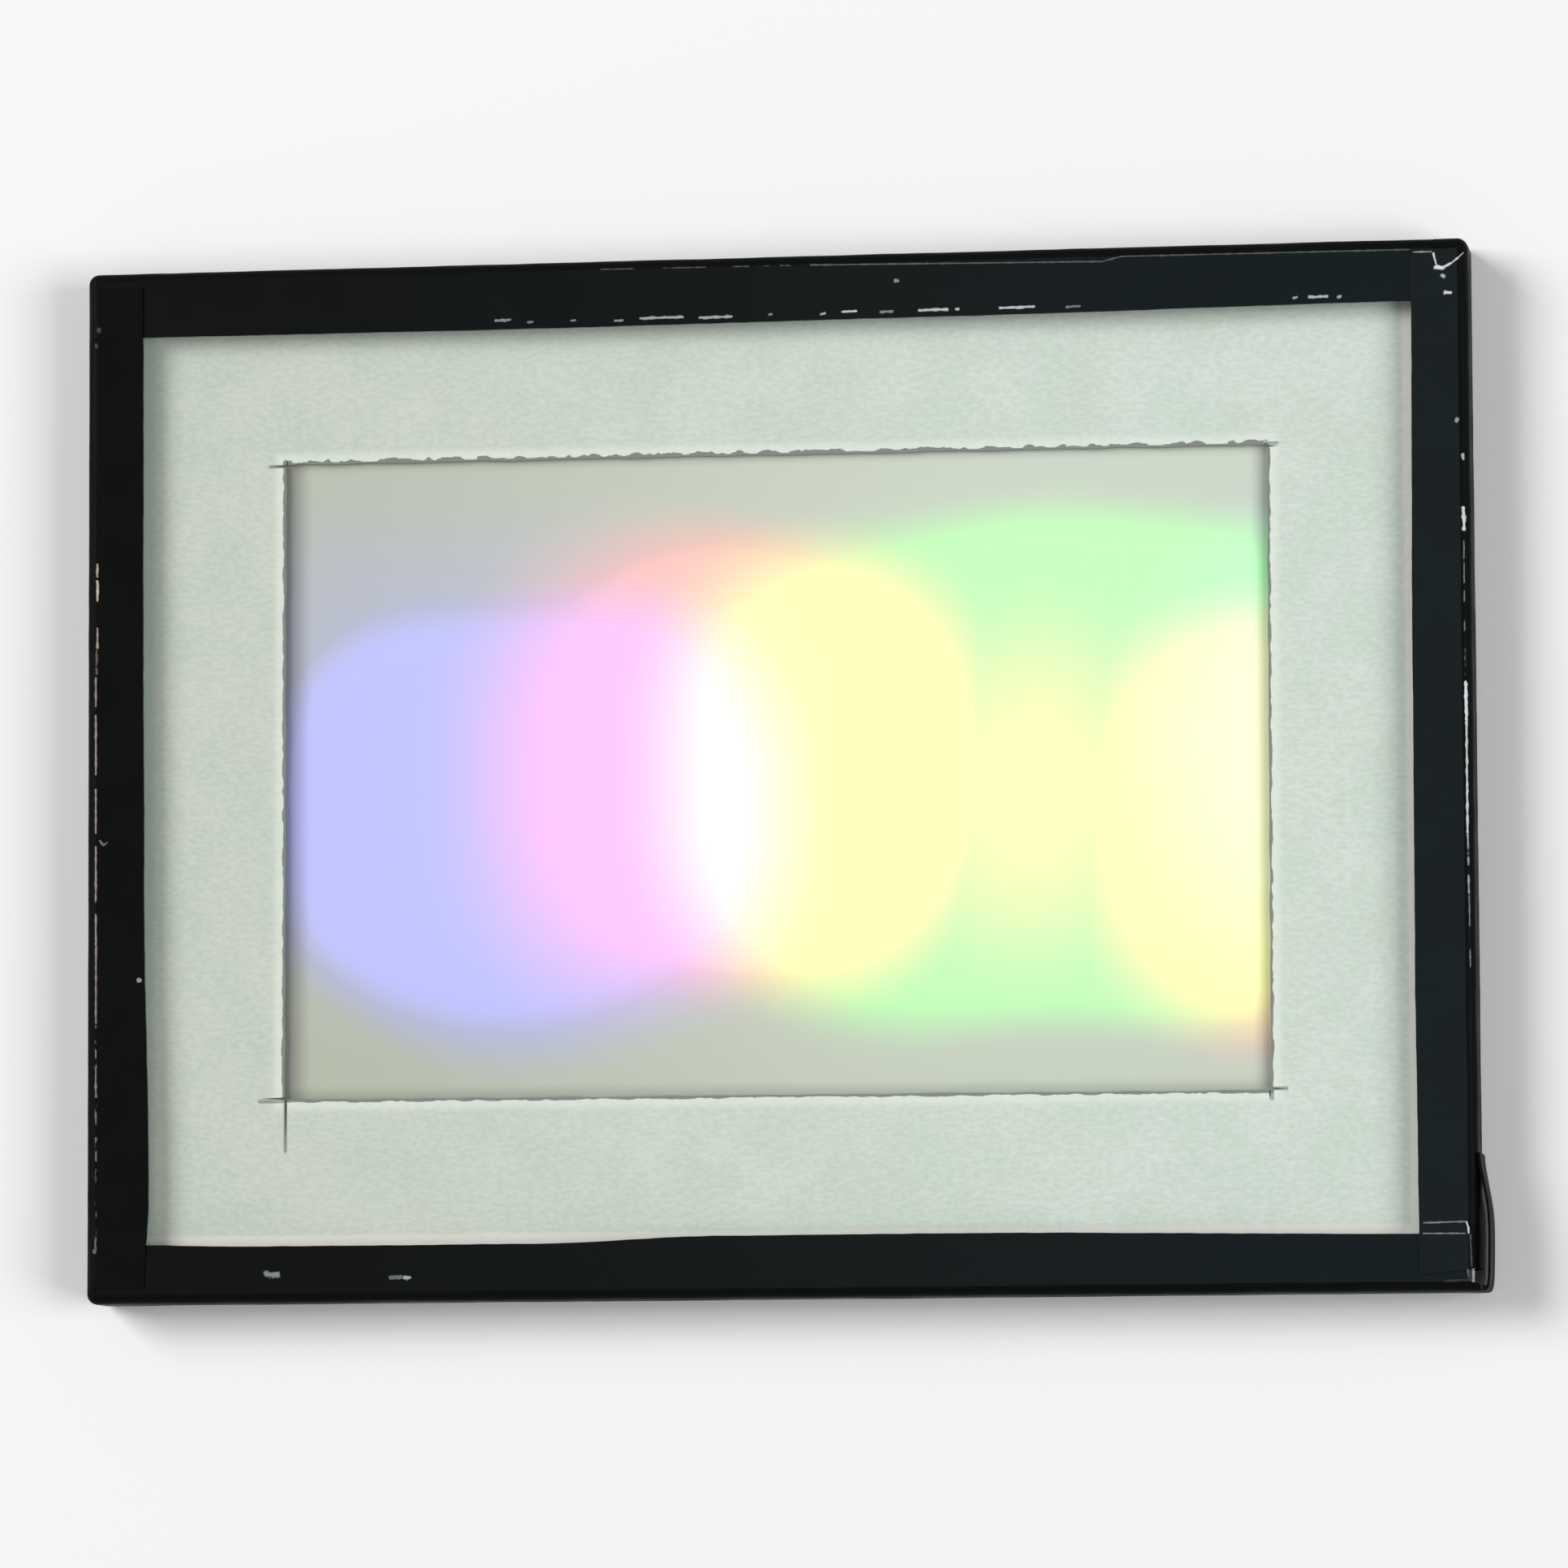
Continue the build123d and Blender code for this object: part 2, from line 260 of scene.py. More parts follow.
def cut_corner(side_x, side_y, run_x, run_y):
    """The knife's two overruns at a corner of the window, in the order of a walk clockwise round it."""
    x, y = side_x * WINDOW_LONG / 2, side_y * WINDOW_SHORT / 2
    along_y = [(x, y - side_y * KNIFE), (x + side_x * run_x, y - side_y * KNIFE / 2), (x, y)]
    along_x = [(x - side_x * KNIFE / 2, y + side_y * run_y), (x - side_x * KNIFE, y)]
    points = along_y + along_x
    return points if side_x * side_y < 0 else points[::-1]


def card_with_window():
    """A sheet of card, filled between its outline and the window's cut, and raised to its thickness."""
    card = bmesh.new()
    inner = []
    for corner, following in zip(OVERRUNS, OVERRUNS[1:] + OVERRUNS[:1]):
        inner += cut_corner(*corner)
        start, end = Vector(inner[-1]), Vector(cut_corner(*following)[0])
        steps = round((end - start).length / CUT_STEP)
        across = (end - start).normalized().orthogonal()
        for i in range(1, steps):
            at = start.lerp(end, i / steps)
            stray = noise.noise(Vector((at.x * 0.7, at.y * 0.7, 5.0))) * CUT_STRAY
            inner.append(tuple(at + across * stray))
    x, y = CARD_LONG / 2, CARD_SHORT / 2
    outer = [(-x, y), (0, y), (x, y), (x, 0), (x, -y), (0, -y), (-x, -y), (-x, 0)]
    for loop in (inner, outer):
        verts = [card.verts.new((*point, 0)) for point in loop]
        for i, vert in enumerate(verts):
            card.edges.new((vert, verts[(i + 1) % len(verts)]))
        if loop is inner:
            turn = Matrix.Rotation(WINDOW_TURN, 3, "Z")
            bmesh.ops.rotate(card, cent=(0, 0, 0), matrix=turn, verts=verts)
            bmesh.ops.translate(card, vec=(WINDOW_X, WINDOW_Y, 0), verts=verts)
    bmesh.ops.triangle_fill(card, edges=card.edges[:], use_beauty=True, normal=(0, 0, 1))
    raised = bmesh.ops.extrude_face_region(card, geom=card.faces[:])["geom"]
    verts = [v for v in raised if isinstance(v, bmesh.types.BMVert)]
    bmesh.ops.translate(card, vec=(0, 0, CARD_TOP - CARD_BOTTOM), verts=verts)
    bmesh.ops.translate(card, vec=(0, 0, CARD_BOTTOM), verts=card.verts)
    bmesh.ops.recalc_face_normals(card, faces=card.faces)
    return card


def near_line(tree, flat_place, start, end, reach, strength, ragged=1.0):
    """How near a point is to a line drawn on the face: the strength on it, 0 from the reach outwards."""
    start, end = Vector((*start, 0)), Vector((*end, 0))
    ahead = end - start
    off = add_node(tree, "VectorMath", (flat_place, start), operation="SUBTRACT")
    scaled = ahead / ahead.length_squared
    share = add_node(tree, "VectorMath", (off, scaled), "Value", operation="DOT_PRODUCT")
    share = add_node(tree, "Clamp", (share,))
    foot = add_node(tree, "VectorMath", {0: ahead, 3: share}, operation="SCALE")
    gap = add_node(tree, "VectorMath", (off, foot), "Value", operation="DISTANCE")
    gap = add_node(tree, "Math", (gap, ragged), operation="MULTIPLY")
    return add_node(tree, "MapRange", (gap, reach, reach * 0.4, 0.0, strength), **SMOOTH)


# Pressed pulp card is matt, with faint clouds, pinkish patches and short fibres, which are drawn about a
# third of a millimetre across, coarser than real ones, so that they show. Along the knife's cuts and
# overruns run dark lines, partly pencil and partly painted shade of the gap at the cut, against a pale
# bruised rim. A painted blue-grey shade lies along its left edge under the tape, and painted light along the
# right and lower edges stands for light coming in under the strips there.
card, tree, place = new_material("pale_pulp_card")
across, along, _ = add_node(tree, "SeparateXYZ", (place,)).node.outputs
# Slightly darker and warmer towards the left, lighter and cooler towards the right.
share = add_node(tree, "MapRange", (across, -30, 20), **SMOOTH)
tone = add_node(tree, "Mix", {0: share, 6: linear("#d6dbd2"), 7: linear("#e0e8e3")}, **COLOURS)
clouds = add_node(tree, "MapRange", (grain(tree, place, 0.3, 3.0), 0.35, 0.65), **SMOOTH)
clouded = add_node(tree, "Mix", {0: 1.0, 6: tone, 7: linear("#f8fbf9")}, **TINT)
tone = add_node(tree, "Mix", {0: clouds, 6: tone, 7: clouded}, **COLOURS)
patches = grain(tree, place, 0.16, 2.0, (1, 1, 3))
patches = add_node(tree, "MapRange", (patches, 0.52, 0.7, 0.0, 0.2), **SMOOTH)
tone = add_node(tree, "Mix", {0: patches, 6: tone, 7: linear("#e3dcd8")}, **COLOURS)
fibre = grain(tree, place, 3.0, 3.0, (1, 2, 1))
fibre = add_node(tree, "MapRange", (fibre, 0.3, 0.7), **SMOOTH)
between = add_node(tree, "Mix", {0: 1.0, 6: tone, 7: linear("#f2f4f1")}, **TINT)
tone = add_node(tree, "Mix", {0: fibre, 6: between, 7: tone}, **COLOURS)

# Dark lines at the window's edges and along the overruns: partly pencil, partly painted shade of the gap at
# the cut.
outside = [add_node(tree, "Math", (gap, -1.0), operation="MULTIPLY") for gap in window_gaps(tree, place)]
around = strongest(tree, *outside)
speckle = grain(tree, place, 1.6, 2.0)
fine_cut = add_node(tree, "MapRange", (speckle, 0.3, 0.7, 0.08, 0.16), **SMOOTH)
rough_cut = add_node(tree, "MapRange", (speckle, 0.35, 0.7, 0.08, 0.25), **SMOOTH)
top_side = add_node(tree, "MapRange", (outside[3], -0.02, 0.0), **SMOOTH)
reach = add_node(tree, "Mix", {0: top_side, 6: fine_cut, 7: rough_cut}, **COLOURS)
cut = add_node(tree, "Math", (around, reach), operation="LESS_THAN")
bruise = add_node(tree, "MapRange", (around, 0.25, 0.7, 0.5, 0.0), **SMOOTH)
tone = add_node(tree, "Mix", {0: bruise, 6: tone, 7: linear("#f4f8f2")}, **COLOURS)
flat_place = add_node(tree, "VectorMath", (place, (1, 1, 0)), operation="MULTIPLY")
for side_x, side_y, run_x, run_y in OVERRUNS:
    x, y = WINDOW_X + side_x * WINDOW_LONG / 2, WINDOW_Y + side_y * WINDOW_SHORT / 2
    for end in ((x + side_x * run_x, y), (x, y + side_y * run_y)):
        cut = strongest(tree, cut, near_line(tree, flat_place, (x, y), end, KNIFE, 0.75))
cut = add_node(tree, "Math", (cut, 0.78), operation="MULTIPLY")
tone = add_node(tree, "Mix", {0: cut, 6: tone, 7: linear("#3c403d")}, **COLOURS)

# Painted blue-grey shade along the card's left edge, under the tape.
left_shade = add_node(tree, "MapRange", (across, *LEFT_PAINTED_SHADE, 0.0, 0.6), **SMOOTH)
tone = add_node(tree, "Mix", {0: left_shade, 6: tone, 7: linear("#9db8b2")}, **COLOURS)
# Painted light along the right and lower edges, where light comes in under the strips.
right_light = add_node(tree, "MapRange", (across, *RIGHT_PAINTED_LIGHT), **SMOOTH)
lower_light = add_node(tree, "MapRange", (along, *LOWER_PAINTED_LIGHT), **SMOOTH)
rim = add_node(tree, "Math", (strongest(tree, right_light, lower_light), 0.6), operation="MULTIPLY")
tone = add_node(tree, "Mix", {0: rim, 6: tone, 7: linear("#fdf3f1")}, **COLOURS)
pulp = add_node(tree, "Bump", {"Strength": 0.25, "Distance": 0.02 * MM, "Height": fibre})
sockets = {"Base Color": tone, "Roughness": 0.85, "Normal": pulp}
add_node(tree, "OutputMaterial", {"Surface": add_node(tree, "BsdfPrincipled", sockets)})
stands_for("window_card", card_with_window(), "mask_card", "card", card)

# Cover glass: the thinner front plate, cut from the same sheet glass as the base. It lies over the card
# and keeps fingers off the film, and the folded tape holds it down.
COVER_BOTTOM, COVER_TOP = 2.085, 3.075
stands_for("cover_plate", glass_plate(COVER_BOTTOM, COVER_TOP), "cover_glass", "glass", sheet_glass)

# Top strip: glossy black binding tape, folded over the long edge. It goes round the upper left corner
# and stops short of the upper right one, under the right strip, where it was cut askew.
# How far the tape's face stands off the glass, its thickness, and how much a lap over a strip lifts it.
WRAP, TAPE, LAP = 0.17, 0.125, 0.13
FACE_X, FACE_Y = GLASS_LONG / 2 + WRAP, GLASS_SHORT / 2 + WRAP
FACE_LOW, FACE_HIGH = 0.13, 3.21
FOLD, CORNER = 0.45, 0.47
# Squares across a flat band, across a bend, and across the band on the edge.
FLAT, BEND, WEB = 24, 8, 5
# Where the long strips dive under the side ones, where the side strips end, and the long strips' reach
# under them at the corners.
UNDER_END, SIDE_END, CORNER_REACH = 31.02, 23.11, 1.02
# The askew cut at the strip's end: how far it leans, over what height, and along what stretch.
SEAM_SKEW, SKEW_HIGH, SKEW_LONG = 0.62, 2.4, 2
# Each wander: places along a strip, and how much wider its front band is there.
TOP_FRONT, TOP_BACK = 3.02, 3.49
TOP_WANDER = ((-31.1, 0.02), (-10.9, 0.06), (9.3, -0.02), (31.02, -0.18))
TOP_SEAM = UNDER_END - SEAM_SKEW
CUT_ROUGH, CUT_RATE = 0.012, 1.3


def rise(value, low, high):
    """A smooth step from 0 to 1 while the value goes from low to high."""
    share = max(0.0, min(1.0, (value - low) / (high - low)))
    return share * share * (3 - 2 * share)


def at_place(anchors, place):
    """A value read between anchors (place, value), easing from one to the next."""
    for (a, first), (b, second) in zip(anchors, anchors[1:]):
        if place <= b:
            return first + (second - first) * rise(place, a, b)
    return anchors[-1][1]


def lay(legs):
    """Stations round the outside of the folded tape, counter-clockwise: place, outward direction, bands.
    A run goes from a start to an end, and a turn about a centre with a radius between two angles."""
    stations = []
    for kind, first, second, spacing, bands in legs:
        if kind == "run":
            start, end = Vector(first), Vector(second)
            ahead = (end - start).normalized()
            outward = Vector((ahead.y, -ahead.x))
            count = max(1, round((end - start).length / spacing))
            marks = [(start.lerp(end, i / count), outward) for i in range(count + 1)]
        else:
            centre, radius = Vector(first[:2]), first[2]
            start, end = second
            count = round(abs(end - start) / spacing)
            turns = [math.radians(start + (end - start) * i / count) for i in range(1, count)]
            spokes = [Vector((math.cos(turn), math.sin(turn))) for turn in turns]
            marks = [(centre + radius * spoke, spoke) for spoke in spokes]
        stations += [(point, outward, *bands(point)) for point, outward in marks]
    return stations


def tape_profile(column, front, back, radius):
    """How far in from the outside a column of the tape lies, its height, and the angle it faces."""
    bend_2, back_flat = FLAT + BEND + WEB, FLAT + 2 * BEND + WEB
    if column <= FLAT:
        return front + (radius - front) * column / FLAT, FACE_HIGH, 0.0
    if column <= FLAT + BEND:
        turn = math.pi / 2 * (column - FLAT) / BEND
        return radius * (1 - math.sin(turn)), FACE_HIGH - radius * (1 - math.cos(turn)), turn
    if column <= bend_2:
        share = (column - FLAT - BEND) / WEB
        return 0.0, FACE_HIGH - radius + (FACE_LOW + 2 * radius - FACE_HIGH) * share, math.pi / 2
    if column <= back_flat:
        turn = math.pi / 2 * (column - bend_2) / BEND
        return radius * (1 - math.cos(turn)), FACE_LOW + radius * (1 - math.sin(turn)), math.pi / 2 + turn
    return radius + (back - radius) * (column - back_flat) / FLAT, FACE_LOW, math.pi


def fold_strip(stations, relief):
    """A strip of tape: a flat slab of squares, folded over the edge of the plates at every station."""
    rows, columns = len(stations) - 1, 2 * FLAT + 2 * BEND + WEB
    strip = bmesh.new()
    bmesh.ops.create_grid(strip, x_segments=rows, y_segments=columns, size=0.5)
    raised = bmesh.ops.extrude_face_region(strip, geom=strip.faces[:])["geom"]
    raised = [v for v in raised if isinstance(v, bmesh.types.BMVert)]
    bmesh.ops.translate(strip, vec=(0, 0, 1), verts=raised)
    for vert in strip.verts:
        sunk = TAPE * (1 - vert.co.z)
        point, outward, front, back, radius, loose = stations[round((vert.co.x + 0.5) * rows)]
        inward, height, angle = tape_profile(round((vert.co.y + 0.5) * columns), front, back, radius)
        angle = math.pi / 2 + (angle - math.pi / 2) * (1 - loose)
        height -= LAP * loose * (1 if height > MID_HEIGHT else -1)
        faced = Vector((*(outward * math.sin(angle)), math.cos(angle)))
        vert.co = Vector((*(point - outward * inward), height))
        vert.co += relief(vert.co, outward) - sunk * faced
    bmesh.ops.remove_doubles(strip, verts=strip.verts, dist=1e-4)
    bmesh.ops.recalc_face_normals(strip, faces=strip.faces)
    for face in strip.faces:
        middle = face.calc_center_median()
        face.material_index = int(abs(middle.x) > FACE_X - FOLD or abs(middle.y) > FACE_Y - FOLD)
    return strip


def ripple(co, outward):
    """The slight unevenness of tape that was smoothed down by thumb. It lifts and never sinks."""
    slow = noise.noise(Vector((co.x * 0.25, co.y * 0.25, co.z * 0.3 + 2.0)))
    quick = noise.noise(Vector((co.x * 0.9, co.y * 0.9, co.z * 0.8 + 9.0)))
    lift = 0.012 * slow + 0.004 * quick
    out = outward * (0.015 * slow + 0.01 * quick)
    return Vector((out.x, out.y, abs(lift) * 0.5))


def cut_stray(x, y):
    """The fine unevenness of the tape's cut edge."""
    return CUT_ROUGH * noise.noise(Vector((x, y, 0)))


def top_bands(point):
    """At a station: widths of the front and the back band, radius of the fold, how far it stands open."""
    if point.x < -UNDER_END:
        inner = CORNER_REACH if point.y > FACE_Y - 0.01 else FOLD
        return inner, inner, FOLD, 0.0
    front = TOP_FRONT + at_place(TOP_WANDER, point.x) + cut_stray(point.x * CUT_RATE, 3.0)
    return front, TOP_BACK, FOLD, 0.0


def top_relief(co, outward):
    """Ripples, and the strip's end under the right one, which is cut askew."""
    near_end = max(0.0, (co.x - TOP_SEAM + SKEW_LONG) / SKEW_LONG)
    share = near_end * max(0.0, FACE_Y - FOLD - co.y) / SKEW_HIGH
    return ripple(co, outward) + Vector((SEAM_SKEW * share, 0, 0))


top_stations = lay((
    ("run", (TOP_SEAM, FACE_Y), (0.1 - UNDER_END, FACE_Y), 0.24, top_bands),
    ("run", (-UNDER_END - 0.001, FACE_Y), (CORNER - FACE_X, FACE_Y), 0.1, top_bands),
    ("turn", (CORNER - FACE_X, FACE_Y - CORNER, CORNER), (90, 180), 9, top_bands),
    ("run", (-FACE_X, FACE_Y - CORNER), (-FACE_X, SIDE_END), 0.12, top_bands),
))


def binding_tape(name, marks, highlight_and_fleck_colour, sheen):
    """Black gummed cloth tape with a varnished face. Its flats keep their gloss and carry a painted dark
    blue-green reflection of the dim room, stronger towards the right; the bends, stretched over the edge,
    are duller and look black. Each mark is a pale line or fleck painted on the face: start, end, reach,
    strength, and whether it is broken up. Those along the bends, laps and crease are painted highlights."""
    finishes = []
    for part, tint, rough, gloss in (("flat", 1.0, (0.1, 0.2), sheen), ("bend", 0.0, (0.45, 0.55), 0.04)):
        tape, tree, place = new_material(f"varnished_tape_{name}_{part}")
        across, _, height = add_node(tree, "SeparateXYZ", (place,)).node.outputs
        flat_place = add_node(tree, "VectorMath", (place, (1, 1, 0)), operation="MULTIPLY")
        breaks = grain(tree, place, 1.1, 2.0, (1, 1, 0))
        breaks = add_node(tree, "MapRange", (breaks, 0.44, 0.52), **SMOOTH)
        ragged = grain(tree, place, 3.2, 1.0, (1, 1, 0))
        ragged = add_node(tree, "MapRange", (ragged, 0.3, 0.7, 0.8, 1.6), **SMOOTH)
        # The marks: painted highlights and pale flecks, on the front only.
        masks = []
        for start, end, reach, strength, broken in marks:
            mask = near_line(tree, flat_place, start, end, reach, strength, ragged)
            if broken:
                mask = add_node(tree, "Math", (mask, breaks), operation="MULTIPLY")
            masks.append(mask)
        in_front = add_node(tree, "MapRange", (height, 2.4, 2.8), **SMOOTH)
        highlights_and_flecks = add_node(tree, "Math", (strongest(tree, *masks), in_front), operation="MULTIPLY")
        clouds = grain(tree, place, 0.5, 1.0, (1, 1, 0))
        black = add_node(tree, "Mix", {0: clouds, 6: linear("#030404"), 7: linear("#050707")}, **COLOURS)
        # Painted dark blue-green reflection of the room on the flats, stronger towards the right; none on
        # the bends.
        reflected_room = add_node(tree, "Mix", {0: 1.0, 6: black, 7: linear("#0b1517")}, **COLOURS, blend_type="ADD")
        far = add_node(tree, "MapRange", (across, -32, 30, 0.0, tint), **SMOOTH)
        black = add_node(tree, "Mix", {0: far, 6: black, 7: reflected_room}, **COLOURS)
        colour = add_node(tree, "Mix", {0: highlights_and_flecks, 6: black, 7: linear(highlight_and_fleck_colour)}, **COLOURS)
        dull = add_node(tree, "MapRange", (grain(tree, place, 0.35, 1.0), 0.35, 0.65, *rough), **SMOOTH)
        sockets = {"Strength": 0.12, "Distance": 0.03 * MM, "Height": grain(tree, place, 2.5, 0.0)}
        skin = add_node(tree, "Bump", sockets)
        sockets = {"Base Color": colour, "Roughness": dull, "Normal": skin}
        sockets |= {"Specular IOR Level": gloss, "IOR": 1.5}
        add_node(tree, "OutputMaterial", {"Surface": add_node(tree, "BsdfPrincipled", sockets)})
        finishes.append(tape)
    return finishes


# Each pale fleck along the inner edge: from, to, height on the face, and how bright it is.
TOP_FLECKS = (
    (-12.72, -12.07, 21.15, 0.4), (-11.2, -11.0, 21.04, 0.3), (-9.2, -9.05, 21.06, 0.35),
    (-7.16, -6.82, 21.0, 0.45), (-5.99, -4.03, 21.08, 0.6), (-3.24, -1.77, 21.04, 0.6),
    (0.0, 0.1, 21.1, 0.45), (2.4, 2.55, 21.06, 0.6), (3.37, 4.0, 21.14, 0.9), (5.13, 5.65, 21.09, 0.35),
    (6.92, 8.19, 21.11, 0.8), (8.6, 8.7, 21.12, 0.7), (10.65, 12.18, 21.13, 0.85), (13.7, 14.26, 21.1, 0.3),
    (24.05, 24.15, 21.24, 0.6), (24.74, 25.55, 21.25, 0.75), (26.05, 26.15, 21.22, 0.6),
)
top_marks = [((a, y), (b, y + 0.02), 0.09, strength, False) for a, b, y, strength in TOP_FLECKS]
# Painted highlights along the top bend, and one pale fleck.
top_marks += [
    ((-7.8, 23.4), (1.9, 23.34), 0.05, 0.12, True), ((1.9, 23.34), (15.3, 23.14), 0.05, 0.16, False),
    ((15.3, 23.14), (16.2, 23.35), 0.05, 0.16, False), ((16.2, 23.35), (29.3, 23.31), 0.05, 0.13, False),
    ((5.83, 22.5), (5.93, 22.5), 0.12, 0.4, False),
]
top_tape = binding_tape("top", top_marks, "#ccd3d3", 0.08)
stands_for("top_strip", fold_strip(top_stations, top_relief), "top_tape", "tape", *top_tape)

# Bottom strip: the same tape along the lower edge. Its far end was never pressed down: it goes round the
# lower right corner and stands off the side of the plates.
BOTTOM_FRONT, BOTTOM_BACK = 2.78, 3.73
BOTTOM_WANDER = (
    (-31.02, -0.08), (-23.3, -0.21), (-10.9, -0.21), (-2.5, 0.06), (7.8, 0.06), (31.02, -0.18)
)
LOOSE = (
    (31.9, -23.82), (32.2, -23.79), (32.34, -23.6), (32.42, -23.0), (32.45, -21.8), (32.44, -20.6),
    (32.34, -19.7), (32.2, -18.9), (32.07, -18.1), (32.02, -17.5),
)


def bottom_bands(point):
    """The bands at a station of the bottom strip."""
    if abs(point.x) > UNDER_END:
        inner = CORNER_REACH if point.y < 0.01 - FACE_Y else FOLD
        return inner, inner, FOLD, 0.0
    front = BOTTOM_FRONT + at_place(BOTTOM_WANDER, point.x) + cut_stray(point.x * CUT_RATE, 7.0)
    return front, BOTTOM_BACK, FOLD, 0.0


def loose_end():
    """Stations along the loose end, on a smooth curve through its points: the fold opens out flat."""
    points = [Vector((FACE_X - CORNER, -FACE_Y))] + [Vector(point) for point in LOOSE]
    last = len(points) - 1
    stations = []
    for i in range(last):
        a, b, c, d = points[max(0, i - 1)], points[i], points[i + 1], points[min(last, i + 2)]
        bow, twist = 2 * a - 5 * b + 4 * c - d, 3 * b - a - 3 * c + d
        for t in (0, 0.25, 0.5, 0.75):
            spot = b + (c - a) * (t / 2) + bow * (t * t / 2) + twist * (t ** 3 / 2)
            ahead = (c - a) / 2 + bow * t + twist * (1.5 * t * t)
            outward = Vector((ahead.y, -ahead.x)).normalized()
            opened = min(1.0, (i + t) / 3)
            radius = FOLD * (1 - opened) + 1e-4
            stations.append((spot, outward, radius, radius, radius, opened))
    return stations


bottom_stations = lay((
    ("run", (-FACE_X, -SIDE_END), (-FACE_X, CORNER - FACE_Y), 0.12, bottom_bands),
    ("turn", (CORNER - FACE_X, CORNER - FACE_Y, CORNER), (180, 270), 9, bottom_bands),
    ("run", (CORNER - FACE_X, -FACE_Y), (-UNDER_END - 0.001, -FACE_Y), 0.1, bottom_bands),
    ("run", (0.1 - UNDER_END, -FACE_Y), (UNDER_END, -FACE_Y), 0.24, bottom_bands),
    ("run", (UNDER_END + 0.05, -FACE_Y), (FACE_X - CORNER - 0.1, -FACE_Y), 0.1, bottom_bands),
)) + loose_end()
# Pale flecks on the front band, and painted highlights along the bend at the right end.
bottom_marks = [
    ((-23.45, -22.52), (-22.95, -22.52), 0.18, 0.5, False),
    ((-17.7, -22.75), (-17.2, -22.71), 0.12, 0.3, False),
    ((-17.05, -22.73), (-16.8, -22.73), 0.14, 0.75, False),
    ((30.37, -23.36), (31.79, -23.3), 0.07, 0.06, False),
    ((31.97, -23.45), (32.05, -23.7), 0.07, 0.06, False),
]
bottom_tape = binding_tape("bottom", bottom_marks, "#b4bdc4", 0.08)
stands_for("bottom_strip", fold_strip(bottom_stations, ripple), "bottom_tape", "tape", *bottom_tape)

# Left strip: the same tape, laid over the ends of the long strips and folded over the short edge. A broken
# painted highlight runs along its bend.
LEFT_FRONT, LEFT_BACK, SLOPE = 2.64, 3.87, 0.45
LEFT_WANDER = ((-23.11, 0.12), (-18.5, 0.3), (-4.6, 0.06), (9.2, 0.0), (23.11, 0.0))
# Where the long strips' inner edges lie under it: in front at the top and bottom, then at the back.
LEFT_OVER = (20.8, 21.12, 20.33, 20.09)


def left_bands(point):
    """The bands at a station of the left strip."""
    front = LEFT_FRONT + at_place(LEFT_WANDER, point.y) + cut_stray(1.0, point.y * CUT_RATE)
    return front, LEFT_BACK, FOLD, 0.0


def over_ends(co, front_top, front_bottom, back_top, back_bottom):
    """Lifts a side strip where it lies over the ends of the long strips. The bend takes the lift up."""
    if co.z > MID_HEIGHT:
        side, edge = 1, front_top if co.y > 0 else front_bottom
    else:
        side, edge = -1, back_top if co.y > 0 else back_bottom
    lift = rise(abs(co.y), edge - SLOPE, edge) * (1 - rise(abs(co.x), FACE_X - FOLD, FACE_X))
    return Vector((0, 0, side * LAP * lift))


def left_relief(co, outward):
    """Ripples, and laps over the long strips' ends."""
    return ripple(co, outward) + over_ends(co, *LEFT_OVER)


left_stations = lay((
    ("run", (-FACE_X, SIDE_END), (-FACE_X, 20.0), 0.09, left_bands),
    ("run", (-FACE_X, 19.9), (-FACE_X, -19.9), 0.22, left_bands),
    ("run", (-FACE_X, -20.0), (-FACE_X, -SIDE_END), 0.09, left_bands),
))
# Painted highlights along the bend in broken dashes, and a few small pale flecks.
left_marks = [
    ((-31.43, 10.3), (-31.43, 9.7), 0.07, 0.7, False), ((-31.42, 9.5), (-31.42, 8.6), 0.08, 0.9, False),
    ((-31.42, 7.33), (-31.42, 6.4), 0.07, 0.6, False), ((-31.45, 6.3), (-31.46, 5.2), 0.07, 0.2, True),
    ((-31.49, 5.04), (-31.49, 3.72), 0.07, 0.45, False), ((-31.49, 3.27), (-31.48, 0.57), 0.07, 0.5, False),
    ((-31.48, -0.15), (-31.48, -2.13), 0.07, 0.5, False), ((-31.48, -2.8), (-31.47, -7.3), 0.07, 0.5, True),
    ((-31.46, -7.4), (-31.46, -14.0), 0.07, 0.4, True), ((-31.45, -14.0), (-31.44, -21.3), 0.07, 0.3, True),
    ((-31.3, -2.5), (-31.12, -2.72), 0.06, 0.35, False),
    ((-31.12, -2.72), (-30.95, -2.6), 0.05, 0.3, False),
    ((-29.44, -8.98), (-29.38, -8.98), 0.13, 0.6, False),
    ((-31.33, 21.2), (-31.33, 21.1), 0.12, 0.12, False), ((-31.5, 20.5), (-31.5, 20.42), 0.1, 0.12, False),
    ((-31.48, -21.35), (-31.48, -21.45), 0.1, 0.25, False),
]
left_tape = binding_tape("left", left_marks, "#cdbcae", 0.06)
stands_for("left_strip", fold_strip(left_stations, left_relief), "left_tape", "tape", *left_tape)

# Right strip: the last one laid, of the same tape. It covers both long strips' ends, goes round the upper
# right corner, and is creased there in a V where the spare tape was tucked in.
RIGHT_FRONT, RIGHT_BACK = 2.66, 3.85
RIGHT_WANDER = ((-23.05, 0.0), (-10.4, 0.06), (4.6, 0.02), (23.05, -0.1))
RIGHT_OVER = (21.04, 21.15, 20.33, 20.09)
CREASE_FROM, CREASE_DEPTH, CREASE_SOFT = 22.2, 0.07, 0.3
CREASE_LEFT, CREASE_FOOT = Vector((30.36, 23.3)), Vector((30.56, 22.42))
CREASE_RIGHT = Vector((31.8, 23.16))
